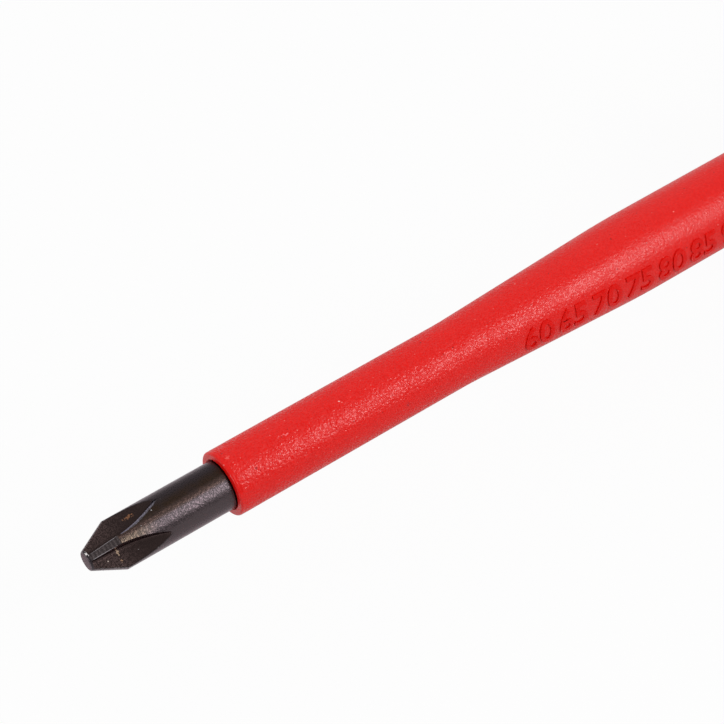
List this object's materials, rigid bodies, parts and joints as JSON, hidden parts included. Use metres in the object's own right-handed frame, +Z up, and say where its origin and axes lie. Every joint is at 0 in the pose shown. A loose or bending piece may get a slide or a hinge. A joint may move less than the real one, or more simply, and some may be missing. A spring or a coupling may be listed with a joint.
{
  "type": "insulated screwdriver",
  "caption": "Insulated cross-point screwdriver with dark steel point, stepped insulating blade sleeve, soft spin zone and palm grip, hexagonal guard and hanging hole.",
  "frame": {"origin": "on the table under the middle of the tool's length, with the tool lying on the flats of its guard and end cap", "axes": "+X along the tool from the point to the end cap, +Z up"},
  "size_m": [0.212, 0.0326, 0.03],
  "materials": {
    "blade_steel": "black oxide, oiled",
    "sleeve_plastic": "fine spark-eroded grain",
    "core_plastic": "as moulded",
    "shell_plastic": "satin",
    "soft_plastic": "matte, fine grain"
  },
  "bodies": {
    "root": {"blade": "blade_steel", "blade_sleeve": "sleeve_plastic", "tang_core": "core_plastic", "handle_shell": "shell_plastic", "spin_grip": "soft_plastic", "palm_grip": "soft_plastic", "end_cap": "shell_plastic"}
  },
  "joints": []
}
